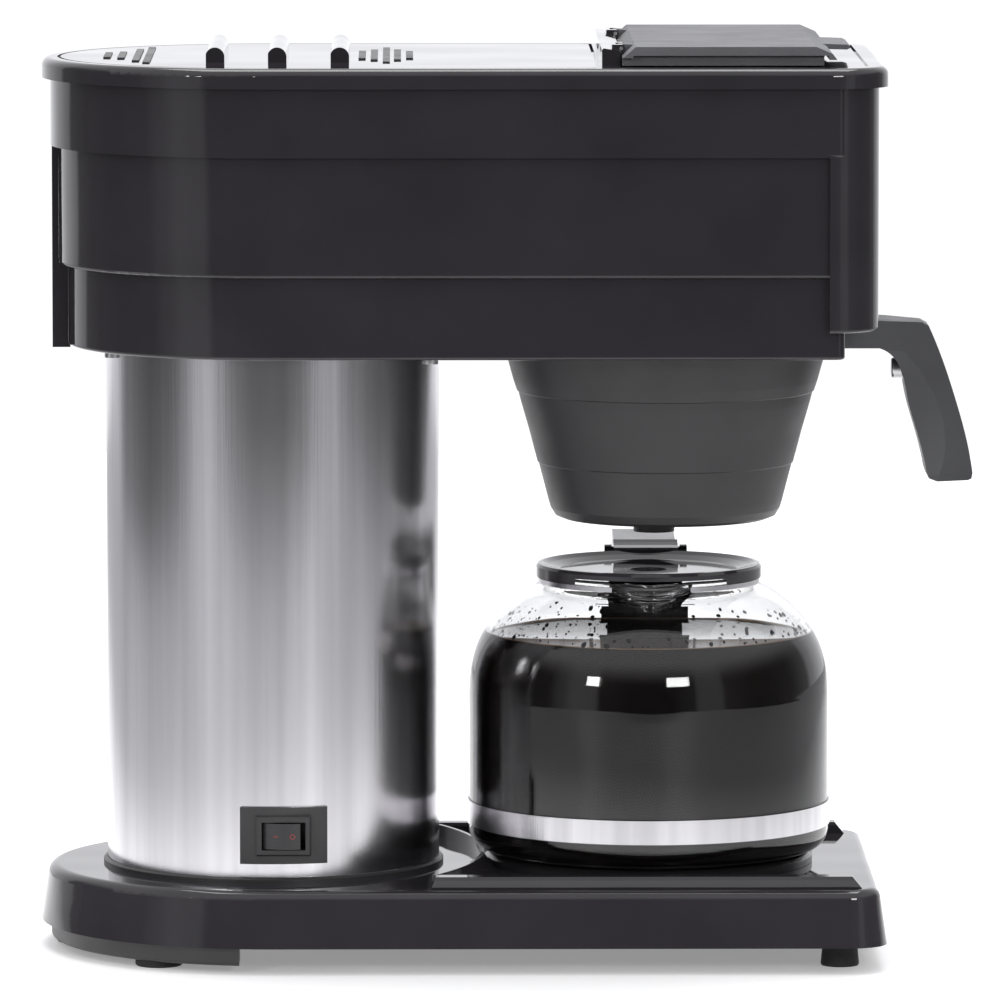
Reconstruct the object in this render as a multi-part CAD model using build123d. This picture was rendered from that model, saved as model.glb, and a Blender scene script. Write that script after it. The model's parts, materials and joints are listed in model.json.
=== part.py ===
from build123d import *
from math import cos, hypot, radians, sin
import os

os.makedirs("parts", exist_ok=True)

# Frame: X runs to the front, Z is up from the counter, and the tank's axis is X = Y = 0.
# All sizes in millimetres.

# Base
BASE_BOTTOM_Z = 10.0
BASE_TOP_Z = 31.5
BASE_HALF = 89.1
BASE_FRONT_X = 232.2
BASE_DRAFT = 8.0
BASE_WALL = 2.6
BASE_CORNER_R = 14.0
BASE_EDGE_R = 4.0
COVER_THICK = 2.0
PLINTH_R = 85.4
PLINTH_BOTTOM_Z = 2.8
RAIL_X = (60.0, 223.0)
RAIL_Y, RAIL_HALF, RAIL_HIGH = 75.2, 4.3, 4.3
SUNK = 0.5
FOOT_X = 215.0
FOOT_Y = 63.0
FOOT_R = 7.0
PAD_R = 9.0

# Warmer plate, with the carafe's axis through its middle
CARAFE_X = 144.0
PLATE_R = 63.0
PLATE_TOP_Z = 36.0
WARMER_HOLE_R = 59.0

# Tank column
TANK_R = 63.6
TANK_WALL = 0.8
TANK_TOP_Z = 236.0
VESSEL_R = 57.5
VESSEL_WALL = 0.8
VESSEL_BOTTOM_Z = 72.0
VESSEL_TOP_Z = 222.0
TANK_LID_TOP_Z = 227.6
GASKET_THICK = 1.6
FILL_TUBE = (30.0, 28.0)
BREW_TUBE = (22.0, -26.0)
THERMOSTAT = (-22.0, 0.0)
ELEMENT_X, ELEMENT_LEGS_Y = 40.0, (-8.0, 8.0)
ELEMENT_R = 3.2
ELEMENT_LOOP_R = 40.8

# Switch on the tank's side
SWITCH_X = 4.6
SWITCH_Z = 49.7
BEZEL_WIDE, BEZEL_HIGH = 33.0, 21.5
FRAME_WIDE, FRAME_HIGH = 20.9, 15.0
ROCKER_WIDE, ROCKER_HIGH = 14.2, 9.8
ROCKER_TILT = -9.0
ROCKER_PIVOT_Y = -62.0
ROCKER_PIN_R = 1.2
SWITCH_FACE_Y = -66.8

# Upper housing: three stepped bands and a proud front fascia
BAND_HALF = (78.0, 81.5, 84.5)
BAND_Z = (231.0, 262.0, 307.3, 333.2)
BAND_FRONT_X = 215.5
BAND_EDGE_R = 1.2
HOUSING_WALL = 2.5
FASCIA_X = (209.4, 228.6)
FASCIA_BOTTOM_Z = 241.5
FASCIA_CORNER_R = 20.0
FLOOR_THICK = 2.5
SPINE_HALF = 7.0
SPINE_X = -83.8
SPINE_GAP = 0.06

# Top cover
DECK_HALF = 87.7
DECK_FRONT_X = 231.9
DECK_Z = 340.8
DECK_EDGE_R = 3.2
DECK_THICK = 2.8
DECK_CORNER_R = 22.0
GROOVE, GROOVE_DEPTH = 1.2, 1.4
LOUVRE_X = (-20.8, 2.6, 26.2)
LOUVRE_WIDE, LOUVRE_HIGH, LOUVRE_HALF = 7.0, 5.6, 43.5
SLOT_Y = [9.4 * place for place in range(-4, 5)]
SLOT_HALF = 3.2
LABEL_WIDE, LABEL_HIGH = 2.7, 0.5
REAR_LABEL = ((-62.4, 32), (-57.0, 40), (-51.0, 75), (-46.7, 100))
FRONT_LABEL = ((34.5, 50), (39.1, 66), (43.7, 93), (47.9, 66), (52.5, 45))

# Reservoir lid and its hinge
HINGE_X, HINGE_Z = 131.9, 346.9
HINGE_PIN_R = 0.7
HINGE_CLEARANCE = 0.05
KNUCKLE_R = 1.4
KNUCKLE_Y = 50.0
KNUCKLE_LONG = 8.0
KNUCKLE_GAP = 0.5
EAR_LONG = 4.5
HINGE_BAR_X = (124.5, 131.4)
HINGE_BAR_TOP = (347.4, 346.4)
HINGE_BAR_HALF = 68.0
LID_X = (132.0, 210.5)
LID_TOP_REAR_X = 137.0
LID_HALF = 77.0
LID_TOP_Z = 348.4
LID_BAND = 3.3
LID_SKIRT_HALF = 73.0
LID_GAP = 0.4
OPENING_X = (144.0, 205.0)
OPENING_HALF = 70.0

# Reservoir bowl
BOWL_X = (66.0, 206.5)
BOWL_HALF = 73.0
BOWL_BOTTOM_Z = 259.0
BOWL_TOP_Z = 336.5
BOWL_WALL = 2.0

# Fill valve, opened by the closed lid
VALVE_X, VALVE_Y = 158.0, 42.0
STEM_R = 2.0
STEM_TOP_Z = 333.6
CHAMBER_R = 10.5
CHAMBER_BOTTOM_Z = 249.0
SPRING_BOTTOM_Z = 263.0
SPRING_TOP_Z = 285.0

# Spray head and water tubes
SPRAY_R = 29.0
SPRAY_Z = (241.6, 245.4)
HOOD_Z = (246.4, 248.4)
TUBE_Z = 253.6
TUBE_R = 4.0
TUBE_WALL = 1.2
HOSE_R = 5.2

# Brew funnel
FUNNEL_X = 150.3
FUNNEL_TOP_Z = 240.4
FUNNEL_RIM_R = 63.4
FLANGE_Z = (233.0, 236.0)
FLANGE_R = 72.4
FLANGE_REACH = 63.5
FUNNEL_WALL = 2.2
OUTLET_X = 146.0
OUTLET_R = 7.85
OUTLET_BOTTOM_Z = 158.5
HANDLE_HALF = 14.0
FACET_X, FACET_Y = 13.0, 5.5

# Carafe
GLASS_R = 69.0
GLASS_WALL = 2.2
GLASS_BOTTOM_Z = 36.4
NECK_R = 41.6
NECK_TOP_Z = 143.0
BAND_STRIP_Z = (46.6, 55.7)
COLLAR_Z = (137.8, 141.0)
CARAFE_LID_R = 43.2
CARAFE_LID_Z = (141.4, 146.5)
LID_HOLE_R = 7.0
CARAFE_HINGE_Y, CARAFE_HINGE_Z = 48.0, 146.0
LID_BARREL_R = 2.6
LID_PIN_R = 1.3


def save(name, shape):
    shape.label = name
    export_step(shape, "parts/" + name + ".step")


def plan(half, front_x, corner_r, z=0.0):
    """Outline seen from above: a half circle at the rear, square with round corners at the front."""
    rear = ThreePointArc((0, half), (-half, 0), (0, -half))
    sides = Polyline((0, -half), (front_x, -half), (front_x, half), (0, half))
    face = make_face(rear + sides)
    return Pos(0, 0, z) * fillet(face.vertices().group_by(Axis.X)[-1], corner_r)


def block(x, y, z):
    """Box from three (low, high) pairs."""
    size = [pair[1] - pair[0] for pair in (x, y, z)]
    middle = [(pair[0] + pair[1]) / 2 for pair in (x, y, z)]
    return Pos(*middle) * Box(*size)


def post(r, z, x=0.0, y=0.0):
    """Upright cylinder from z[0] to z[1]."""
    return Pos(x, y, (z[0] + z[1]) / 2) * Cylinder(r, z[1] - z[0])


def tube(outer, inner, z, x=0.0, y=0.0):
    return post(outer, z, x, y) - post(inner, (z[0] - 1, z[1] + 1), x, y)


def turned(points, x=0.0, y=0.0):
    """Solid of revolution about the upright line through (x, y), from (radius, height) points."""
    outline = Polyline(*[(r, 0, z) for r, z in points], close=True)
    return Pos(x, y) * revolve(make_face(outline), Axis.Z)


def side_prism(points, half):
    """Outline of (x, z) points in the side view, extruded across to both sides."""
    outline = make_face(Polyline(*[(x, 0, z) for x, z in points], close=True))
    return extrude(outline, half, dir=(0, 1, 0), both=True)


def both_sides(shape):
    return shape + mirror(shape, Plane.XZ)


def pipe(points, bend, outer, inner):
    """Round tube along straight runs joined by arcs."""
    path = FilletPolyline(*points, radius=bend)
    end = Plane(origin=path @ 0, z_dir=path % 0)
    ring = end * (Circle(outer) - Circle(inner))
    return sweep(ring, path=path)


def screw(x, y, z, length, head_r=3.2, shank_r=1.5, up=True):
    """Pan head screw with a cross slot; z is the seat under the head and the shank goes the other way."""
    way = 1 if up else -1
    head = Pos(x, y, z - way) * Cylinder(head_r, 2)
    slots = Box(head_r * 1.3, 0.8, 1.2) + Box(0.8, head_r * 1.3, 1.2)
    head -= Pos(x, y, z - way * 2) * slots
    return head + Pos(x, y, z + way * length / 2) * Cylinder(shank_r, length)


# ---------------------------------------------------------------- base
SCREW_SPOTS = ((40.0, 70.0), (40.0, -70.0), (196.0, 72.0), (196.0, -72.0))
WIRE_HOLE_R = 48.0
PLINTH_WIDE = 22.0
PAD_ANGLES = (125, 180, 235)
BUSHING_ANGLE = 140.0
BUSHING_Z = 20.5
BUSHING_R = 6.5
CORD_HOLE_R = 3.6


def bushing_cylinder(r, start, end):
    """Cylinder along the cord's way out of the base, between two distances from the tank's axis."""
    way = (cos(radians(BUSHING_ANGLE)), sin(radians(BUSHING_ANGLE)), 0)
    origin = (way[0] * start, way[1] * start, BUSHING_Z)
    return extrude(Plane(origin=origin, z_dir=way) * Circle(r), end - start)


def rails():
    """Two low ridges along the base's sides."""
    low, high = BASE_TOP_Z - SUNK, BASE_TOP_Z + RAIL_HIGH
    rear, front = RAIL_X
    outline = [(rear, low), (rear + 2, high), (front - 4, high), (front, low)]
    ridge = side_prism(outline, RAIL_HALF)
    ridge = chamfer(ridge.edges().filter_by(Axis.X).group_by(Axis.Z)[-1], 1.2)
    return both_sides(Pos(0, RAIL_Y) * ridge)


def drip_dam():
    """Curved step between the tank and the warmer, steep towards the tank and sloping off in front."""
    centre_x, crest_r, crest_wide, run = -62.0, 142.0, 1.5, 9.0
    low, high = BASE_TOP_Z - SUNK, BASE_TOP_Z + RAIL_HIGH
    half = RAIL_Y - RAIL_HALF + SUNK
    section = [(crest_r, low), (crest_r, high), (crest_r + crest_wide, high), (crest_r + run, low)]
    dam = turned(section, centre_x) & block((55, 100), (-half, half), (low - 1, high + 1))
    return dam - post(PLATE_R + 1.5, (low - 1, high + 1), CARAFE_X)


def base_shell():
    height = BASE_TOP_Z - BASE_BOTTOM_Z
    shell = extrude(plan(BASE_HALF, BASE_FRONT_X, BASE_CORNER_R, BASE_BOTTOM_Z), height, taper=BASE_DRAFT)
    shell = fillet(shell.faces().sort_by(Axis.Z)[-1].edges(), BASE_EDGE_R)
    inside = plan(BASE_HALF - BASE_WALL, BASE_FRONT_X - BASE_WALL, BASE_CORNER_R - BASE_WALL, BASE_BOTTOM_Z)
    shell -= extrude(inside, height - BASE_WALL, taper=BASE_DRAFT)
    shell += rails() + drip_dam()
    for x, y in SCREW_SPOTS:
        shell += tube(4.0, 1.6, (BASE_BOTTOM_Z + COVER_THICK, BASE_TOP_Z - 1), x, y)
    shell -= post(WARMER_HOLE_R, (BASE_TOP_Z - 5, BASE_TOP_Z + 6), CARAFE_X)
    shell -= post(WIRE_HOLE_R, (BASE_TOP_Z - 5, BASE_TOP_Z + 1))
    return shell - bushing_cylinder(BUSHING_R + 0.1, 70, 100)


def base_bottom_cover():
    back = BASE_WALL + 0.6
    outline = plan(BASE_HALF - back, BASE_FRONT_X - back, BASE_CORNER_R - back, BASE_BOTTOM_Z)
    cover = extrude(outline, COVER_THICK)
    for x, y in SCREW_SPOTS:
        cover -= post(1.8, (0, 20), x, y)
    for x in (20, 34, 48):
        cover -= both_sides(block((x - 2.5, x + 2.5), (8, 40), (9, 13)))
    return cover


def rear_plinth():
    ring = tube(PLINTH_R, PLINTH_R - PLINTH_WIDE, (PLINTH_BOTTOM_Z, BASE_BOTTOM_Z))
    ring &= block((-100, -12), (-100, 100), (0, 20))
    outer_edge = ring.edges().group_by(Axis.Z)[0].filter_by(GeomType.CIRCLE).sort_by(SortBy.RADIUS)[-1]
    return fillet(outer_edge, 2.0)


def pad_spots():
    reach = PLINTH_R - PLINTH_WIDE / 2
    return [(reach * cos(radians(a)), reach * sin(radians(a))) for a in PAD_ANGLES]


def rear_pads():
    pads = []
    for x, y in pad_spots():
        pad = post(PAD_R, (0, PLINTH_BOTTOM_Z), x, y)
        pads.append(chamfer(pad.edges().group_by(Axis.Z)[0], 0.6))
    return Compound(children=pads)


def front_feet():
    profile = [(0, 0), (FOOT_R, 0), (FOOT_R + 0.3, 0.8), (FOOT_R - 0.6, BASE_BOTTOM_Z), (0, BASE_BOTTOM_Z)]
    feet = [turned(profile, FOOT_X, side * FOOT_Y) for side in (-1, 1)]
    return Compound(children=feet)


def base_screws():
    return Compound(children=[screw(x, y, BASE_BOTTOM_Z, 10, head_r=3.0) for x, y in SCREW_SPOTS])


def cord_bushing():
    body = bushing_cylinder(BUSHING_R, 78, 89.6)
    body += bushing_cylinder(BUSHING_R + 1.5, 89.5, 92.0) + bushing_cylinder(BUSHING_R + 1.5, 77, 80)
    return body - bushing_cylinder(CORD_HOLE_R, 70, 100)


def terminal_block():
    low = BASE_BOTTOM_Z + COVER_THICK
    strip = block((-40, -22), (-24, 24), (low, low + 12))
    for y in (-18, -6, 6, 18):
        strip -= post(3.2, (low + 8, low + 13), -35, y) + post(3.2, (low + 8, low + 13), -27, y)
    return strip


# ---------------------------------------------------------------- warmer
def warmer_plate():
    top, rim = PLATE_TOP_Z, PLATE_R
    seat = BASE_TOP_Z + 0.1
    profile = [(0, top - 1.2), (0, top), (rim - 3.5, top), (rim - 1.2, top - 0.6), (rim, top - 2.0)]
    profile += [(rim, seat), (rim - 1.2, seat), (rim - 1.2, top - 2.0), (rim - 3.5, top - 1.2)]
    return turned(profile, CARAFE_X)


def warmer_heater():
    top = PLATE_TOP_Z - 1.2
    ring = tube(52, 20, (top - 1.5, top), CARAFE_X)
    return ring - block((CARAFE_X - 54, CARAFE_X), (-3, 3), (top - 3, top + 1))


def warmer_insulator():
    top = PLATE_TOP_Z - 2.7
    return post(57.5, (top - 3.2, top), CARAFE_X)


def warmer_retainer():
    top = PLATE_TOP_Z - 5.9
    bar = block((CARAFE_X - 55, CARAFE_X + 55), (-8, 8), (top - 1.5, top))
    bar += block((CARAFE_X - 8, CARAFE_X + 8), (-55, 55), (top - 1.5, top))
    return bar - post(2.2, (20, 40), CARAFE_X)


def warmer_screw():
    return screw(CARAFE_X, 0, PLATE_TOP_Z - 7.4, 1.4, head_r=4.5, shank_r=2.1)


# ---------------------------------------------------------------- tank
def switch_window(grow=0.0):
    return block(
        (SWITCH_X - FRAME_WIDE / 2 - grow, SWITCH_X + FRAME_WIDE / 2 + grow),
        (-90, -40),
        (SWITCH_Z - FRAME_HIGH / 2 - grow, SWITCH_Z + FRAME_HIGH / 2 + grow),
    )


def tank_shell():
    shell = tube(TANK_R, TANK_R - TANK_WALL, (BASE_TOP_Z + 0.1, TANK_TOP_Z))
    return shell - switch_window(0.2)


def tank_seat_ring():
    ring = tube(TANK_R + 1.6, TANK_R + 0.1, (BASE_TOP_Z, BASE_TOP_Z + 2.2))
    return chamfer(ring.edges().group_by(Axis.Z)[-1].sort_by(SortBy.RADIUS)[-1], 0.8)


def tank_vessel():
    vessel = post(VESSEL_R, (VESSEL_BOTTOM_Z, VESSEL_TOP_Z))
    vessel -= post(VESSEL_R - VESSEL_WALL, (VESSEL_BOTTOM_Z + VESSEL_WALL, VESSEL_TOP_Z + 1))
    vessel += tube(VESSEL_R + 3.2, VESSEL_R - 0.4, (VESSEL_TOP_Z - 1.2, VESSEL_TOP_Z))
    for y in ELEMENT_LEGS_Y:
        vessel -= post(ELEMENT_R + 0.2, (VESSEL_BOTTOM_Z - 1, VESSEL_BOTTOM_Z + 2), ELEMENT_X, y)
    return vessel


def tank_gasket():
    return tube(VESSEL_R + 3.2, VESSEL_R - 2, (VESSEL_TOP_Z, VESSEL_TOP_Z + GASKET_THICK))


def tank_lid():
    low, high = VESSEL_TOP_Z + GASKET_THICK, TANK_LID_TOP_Z
    lid = post(VESSEL_R + 3.2, (low, low + 1.2)) + post(VESSEL_R - 6, (low, high))
    lid -= post(VESSEL_R - 7.2, (low - 1, high - 1.2))
    for spot in (FILL_TUBE, BREW_TUBE, THERMOSTAT):
        lid -= post(TUBE_R + 0.1, (low - 1, high + 1), *spot)
    return lid


def tank_insulation():
    return tube(TANK_R - TANK_WALL - 0.2, VESSEL_R + 0.2, (VESSEL_BOTTOM_Z + 4, VESSEL_TOP_Z - 2))


def heating_element():
    z = (VESSEL_BOTTOM_Z - 12, VESSEL_BOTTOM_Z + 16)
    loop = Pos(0, 0, z[1]) * Torus(ELEMENT_LOOP_R, ELEMENT_R)
    for y in ELEMENT_LEGS_Y:
        loop += post(ELEMENT_R, z, ELEMENT_X, y)
    return loop


def element_nuts():
    nuts = []
    for y in ELEMENT_LEGS_Y:
        nut = extrude(Pos(ELEMENT_X, y, VESSEL_BOTTOM_Z - 5) * RegularPolygon(6.5, 6), 4.9)
        nuts.append(nut - post(ELEMENT_R + 0.05, (50, 80), ELEMENT_X, y))
    return Compound(children=nuts)


def thermostat():
    low = TANK_LID_TOP_Z + 0.2
    bulb = post(4.0, (140, low + 1), *THERMOSTAT)
    return bulb + Pos(THERMOSTAT[0], THERMOSTAT[1], low + 6) * Box(30, 24, 12)


def limit_thermostat():
    top = VESSEL_BOTTOM_Z - 0.1
    disc = post(9.0, (top - 6, top)) + block((-14, 14), (-4, 4), (top - 1.2, top))
    for x in (-4, 4):
        disc += block((x - 0.4, x + 0.4), (-3, 3), (top - 13, top - 5.5))
    return disc


def tank_fill_tube():
    return tube(TUBE_R, TUBE_R - TUBE_WALL, (VESSEL_BOTTOM_Z + 24, VESSEL_TOP_Z + 12), *FILL_TUBE)


def brew_tube():
    x, y = BREW_TUBE
    spray = (FUNNEL_X, 0, SPRAY_Z[1] + 2.2)
    points = [(x, y, VESSEL_TOP_Z - 6), (x, y, TUBE_Z), (FUNNEL_X, 0, TUBE_Z), spray]
    return pipe(points, 5.5, TUBE_R, TUBE_R - TUBE_WALL)


def reservoir_hose():
    """Silicone hose from the fill valve's nipple back and down onto the tank's fill tube."""
    x, y = FILL_TUBE
    level = [(VALVE_X - 12.5, VALVE_Y, TUBE_Z), (96, VALVE_Y, TUBE_Z), (70, y, TUBE_Z), (x, y, TUBE_Z)]
    hose = pipe(level + [(x, y, TANK_LID_TOP_Z + 0.5)], [20, 20, 12], HOSE_R, TUBE_R - 0.2)
    nipple = Pos(VALVE_X - 14, VALVE_Y, TUBE_Z) * Rot(0, 90, 0) * Cylinder(TUBE_R + 0.05, 12)
    return hose - nipple - post(TUBE_R + 0.05, (200, VESSEL_TOP_Z + 12.1), *FILL_TUBE)


def spray_fitting():
    """Hexagonal nut and washer that hold the spray head under the hood plate."""
    nut = extrude(Pos(FUNNEL_X, 0, HOOD_Z[1]) * RegularPolygon(8, 6), 2.0)
    return nut - post(TUBE_R + 0.1, (230, 260), FUNNEL_X)


def sprayhead():
    low, high = SPRAY_Z
    profile = [(0, low), (SPRAY_R, low), (SPRAY_R, low + 1.4), (9, high), (6.2, high), (6.2, HOOD_Z[1])]
    dome = turned(profile + [(0, HOOD_Z[1])], FUNNEL_X)
    dome -= post(TUBE_R + 0.1, (low + 1.2, 260), FUNNEL_X)
    for ring_r, count in ((7.0, 6), (14.0, 12), (21.0, 18)):
        for place in PolarLocations(ring_r, count):
            dome -= Pos(FUNNEL_X, 0, low) * place * Cylinder(0.8, 3)
    return dome


# ---------------------------------------------------------------- switch
def switch_bezel():
    """Thin plate that follows the tank's curve, with a raised square frame around the rocker."""
    plate = tube(TANK_R + 1.7, TANK_R + 0.05, (SWITCH_Z - BEZEL_HIGH / 2, SWITCH_Z + BEZEL_HIGH / 2))
    plate &= block((SWITCH_X - BEZEL_WIDE / 2, SWITCH_X + BEZEL_WIDE / 2), (-90, 0), (0, 100))
    frame = block(
        (SWITCH_X - FRAME_WIDE / 2, SWITCH_X + FRAME_WIDE / 2),
        (SWITCH_FACE_Y, -58),
        (SWITCH_Z - FRAME_HIGH / 2, SWITCH_Z + FRAME_HIGH / 2),
    )
    frame = chamfer(frame.faces().sort_by(Axis.Y)[0].edges(), 0.6)
    hole = block(
        (SWITCH_X - ROCKER_WIDE / 2 - 1.2, SWITCH_X + ROCKER_WIDE / 2 + 1.2),
        (-90, -40),
        (SWITCH_Z - ROCKER_HIGH / 2 - 0.4, SWITCH_Z + ROCKER_HIGH / 2 + 0.4),
    )
    pin = post(ROCKER_PIN_R, (SWITCH_Z - 6.5, SWITCH_Z + 6.5), SWITCH_X, ROCKER_PIVOT_Y)
    return (plate + frame) - hole + pin


def switch_body():
    body = block((SWITCH_X - 9, SWITCH_X + 9), (-57.8, -36), (SWITCH_Z - 6.5, SWITCH_Z + 6.5))
    body -= block((SWITCH_X - 8, SWITCH_X + 8), (-60, -50), (SWITCH_Z - 5.4, SWITCH_Z + 5.4))
    for x in (-5, 5):
        body += block((SWITCH_X + x - 0.4, SWITCH_X + x + 0.4), (-36.5, -28), (SWITCH_Z - 3, SWITCH_Z + 3))
    return body


def switch_rocker():
    """Barrel-fronted rocker, at rest with its left side pressed in, that turns on the bezel's pin."""
    half, high = ROCKER_WIDE / 2, ROCKER_HIGH
    corner_y, crown_y, tail_y = -4.4, -6.0, 3.6
    crown = ThreePointArc((-half, corner_y), (0, crown_y), (half, corner_y))
    right = [(half, corner_y), (half - 0.6, 0), (3.4, tail_y)]
    tail = Polyline(*right, *[(-x, y) for x, y in reversed(right)])
    body = extrude(make_face(crown + tail), high / 2, both=True)
    body -= Cylinder(ROCKER_PIN_R + HINGE_CLEARANCE, high + 1)
    return Pos(SWITCH_X, ROCKER_PIVOT_Y, SWITCH_Z) * Rot(0, 0, ROCKER_TILT) * body


# ---------------------------------------------------------------- housing
def soft_below(shape):
    """The same shape with its lowest edges rounded."""
    return fillet(shape.faces().sort_by(Axis.Z)[0].edges(), BAND_EDGE_R)


def housing_solid():
    """Outside of the upper housing, without its hollow."""
    solid = None
    for half, low, high in zip(BAND_HALF, BAND_Z[:-1], BAND_Z[1:]):
        band = soft_below(extrude(plan(half, BAND_FRONT_X, 3.0, low), high - low))
        solid = band if solid is None else solid + band
    half = BAND_HALF[-1]
    outline = plan(half, FASCIA_X[1], FASCIA_CORNER_R, FASCIA_BOTTOM_Z)
    fascia = soft_below(extrude(outline, BAND_Z[-1] - FASCIA_BOTTOM_Z))
    fascia &= block((FASCIA_X[0], 300), (-100, 100), (0, 400))
    top = extrude(plan(half, FASCIA_X[1], FASCIA_CORNER_R, BAND_Z[2]), BAND_Z[3] - BAND_Z[2])
    return solid + fascia + top


HOUSING_SCREW_SPOTS = ((-60.0, 40.0), (-60.0, -40.0), (60.0, 69.0), (60.0, -69.0))


def housing_shell():
    shell = housing_solid()
    inner_half = BAND_HALF[0] - HOUSING_WALL
    top_z = BAND_Z[-1]
    cavity = extrude(plan(inner_half, BAND_FRONT_X - HOUSING_WALL, 2.0, BAND_Z[0] + FLOOR_THICK), top_z)
    shell -= cavity
    shell -= block((214, FASCIA_X[1] - HOUSING_WALL), (-62, 62), (FASCIA_BOTTOM_Z + HOUSING_WALL, top_z + 1))
    shell -= block((82, 240), (-inner_half, inner_half), (BAND_Z[0] - 1, FASCIA_BOTTOM_Z))
    shell -= block((BAND_FRONT_X, 240), (-100, 100), (BAND_Z[0] - 1, FASCIA_BOTTOM_Z))
    shell -= post(TANK_R + 0.3, (BAND_Z[0] - 1, BAND_Z[0] + 4))
    for x, y in HOUSING_SCREW_SPOTS:
        shell += post(4.0, (BAND_Z[0] + 1, BAND_Z[0] + 12), x, y)
        shell -= post(1.6, (BAND_Z[0] - 1, BAND_Z[0] + 13), x, y)
    return shell


def rear_spine():
    """Strip down the housing's rear, shaped to its lower two bands."""
    strip = block((SPINE_X, -77), (-SPINE_HALF, SPINE_HALF), (BAND_Z[0] - 1, BAND_Z[2] - 0.3))
    return strip - Pos(-SPINE_GAP, 0) * housing_solid()


def hood_plate():
    """Plate over the funnel that carries the spray head and keeps steam out of the housing."""
    plate = block((84, 207), (-74.9, 74.9), HOOD_Z)
    return plate - post(6.3, (240, 255), FUNNEL_X)


def funnel_rails():
    """Channels that the funnel's side flanges slide in."""
    wall_y = BAND_HALF[0] - HOUSING_WALL - 0.2
    channel = block((84, 209), (65.5, wall_y), (BAND_Z[0], HOOD_Z[0] - 0.1))
    channel -= block((83, 215), (60, wall_y - 2.2), (FLANGE_Z[0] - 0.4, FUNNEL_TOP_Z + 0.8))
    return both_sides(channel)


def housing_screws():
    return Compound(children=[screw(x, y, BAND_Z[0], 9, head_r=3.0) for x, y in HOUSING_SCREW_SPOTS])


# ---------------------------------------------------------------- top cover
def deck_groove():
    """Narrow groove that outlines the inset rear panel, and a cross groove near the front."""
    low, half, front_x = DECK_Z - GROOVE_DEPTH, DECK_HALF - 6, 123.4
    groove = plan(half, front_x, 5, low) - plan(half - GROOVE, front_x - GROOVE, 4, low)
    cross = block((223.0, 223.0 + GROOVE), (-70, 70), (low, DECK_Z + 1))
    return extrude(groove, GROOVE_DEPTH + 1) + cross


def top_cover():
    low = BAND_Z[-1]
    cover = extrude(plan(DECK_HALF, DECK_FRONT_X, DECK_CORNER_R, low), DECK_Z - low)
    cover = fillet(cover.faces().sort_by(Axis.Z)[-1].edges(), DECK_EDGE_R)
    inside = plan(DECK_HALF - 5.5, DECK_FRONT_X - 5.5, DECK_CORNER_R - 5, low - 1)
    cover -= extrude(inside, DECK_Z - DECK_THICK - low + 1)
    cover -= block(OPENING_X, (-OPENING_HALF, OPENING_HALF), (low, DECK_Z + 1))
    cover -= deck_groove()
    for x in LOUVRE_X:
        for y in SLOT_Y:
            cover -= block((x - 1.6, x + 1.6), (y - SLOT_HALF, y + SLOT_HALF), (low, DECK_Z + 1))
    return cover


def louvre(x):
    """Arched hood over a row of slots, open at the rear."""
    back, front = x - LOUVRE_WIDE / 2, x + LOUVRE_WIDE / 2
    top, side = DECK_Z + LOUVRE_HIGH, DECK_Z + 2.4
    y = -LOUVRE_HALF
    outline = Polyline((back, y, side + 0.8), (back, y, DECK_Z), (front, y, DECK_Z), (front, y, side))
    crown = ThreePointArc((front, y, side), (x, y, top), (back, y, side + 0.8))
    hood = extrude(make_face(outline + crown), 2 * LOUVRE_HALF, dir=(0, 1, 0))
    hood -= block((x - 2.4, x + 2.2), (-LOUVRE_HALF + 2, LOUVRE_HALF - 2), (DECK_Z - 1, DECK_Z + 3.2))
    for y in SLOT_Y:
        hood -= block((back - 1, x), (y - SLOT_HALF, y + SLOT_HALF), (DECK_Z + 0.9, DECK_Z + 3.4))
    return hood


def vent_louvres():
    return Compound(children=[louvre(x) for x in LOUVRE_X])


def deck_label():
    z = (DECK_Z, DECK_Z + LABEL_HIGH)
    bars = []
    for x, length in REAR_LABEL + FRONT_LABEL:
        bars.append(block((x - LABEL_WIDE / 2, x + LABEL_WIDE / 2), (-length / 2, length / 2), z))
    return Compound(children=bars)


# ---------------------------------------------------------------- lid and hinge
def across(r, y_middle, length, x=HINGE_X, z=HINGE_Z):
    """Cylinder lying across the machine."""
    return Pos(x, y_middle, z) * Rot(90, 0, 0) * Cylinder(r, length)


def knuckle_places():
    return [side * KNUCKLE_Y for side in (-1, 1)]


def hinge_bar():
    """Bar on the deck with pairs of ears that hold the lid's hinge pins."""
    rear, front = HINGE_BAR_X
    rear_top, front_top = HINGE_BAR_TOP
    outline = [(rear, DECK_Z), (rear, rear_top - 0.6), (rear + 0.6, rear_top)]
    outline += [(front, front_top), (front, DECK_Z)]
    bar = side_prism(outline, HINGE_BAR_HALF)
    half = KNUCKLE_LONG / 2 + KNUCKLE_GAP
    for y in knuckle_places():
        ears = across(KNUCKLE_R, y, 2 * (half + EAR_LONG))
        web = (HINGE_Z - KNUCKLE_R, HINGE_Z + KNUCKLE_R)
        ears += block((front - 3, HINGE_X), (y - half - EAR_LONG, y + half + EAR_LONG), web)
        bar += ears
        bar -= block((HINGE_X - 2, HINGE_X + 5), (y - half, y + half), (DECK_Z - 1, LID_TOP_Z + 1))
        bar -= across(HINGE_PIN_R, y, 2 * (half + EAR_LONG) + 1)
    return bar


def lid_hinge_pins():
    length = KNUCKLE_LONG + 2 * (KNUCKLE_GAP + EAR_LONG)
    return Compound(children=[across(HINGE_PIN_R, y, length) for y in knuckle_places()])


def finger_tab(front):
    """Thin lip in the middle of the lid's front edge, for a fingertip."""
    middle_z = LID_TOP_Z - 3.0
    top = [(front - 4, middle_z + 1.2), (front + 7.8, middle_z + 0.8), (front + 9.1, middle_z + 0.2)]
    under = [(front + 9.1, middle_z - 0.5), (front + 7.8, middle_z - 1.1), (front - 4, middle_z - 0.8)]
    return side_prism(top + under, 23)


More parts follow.
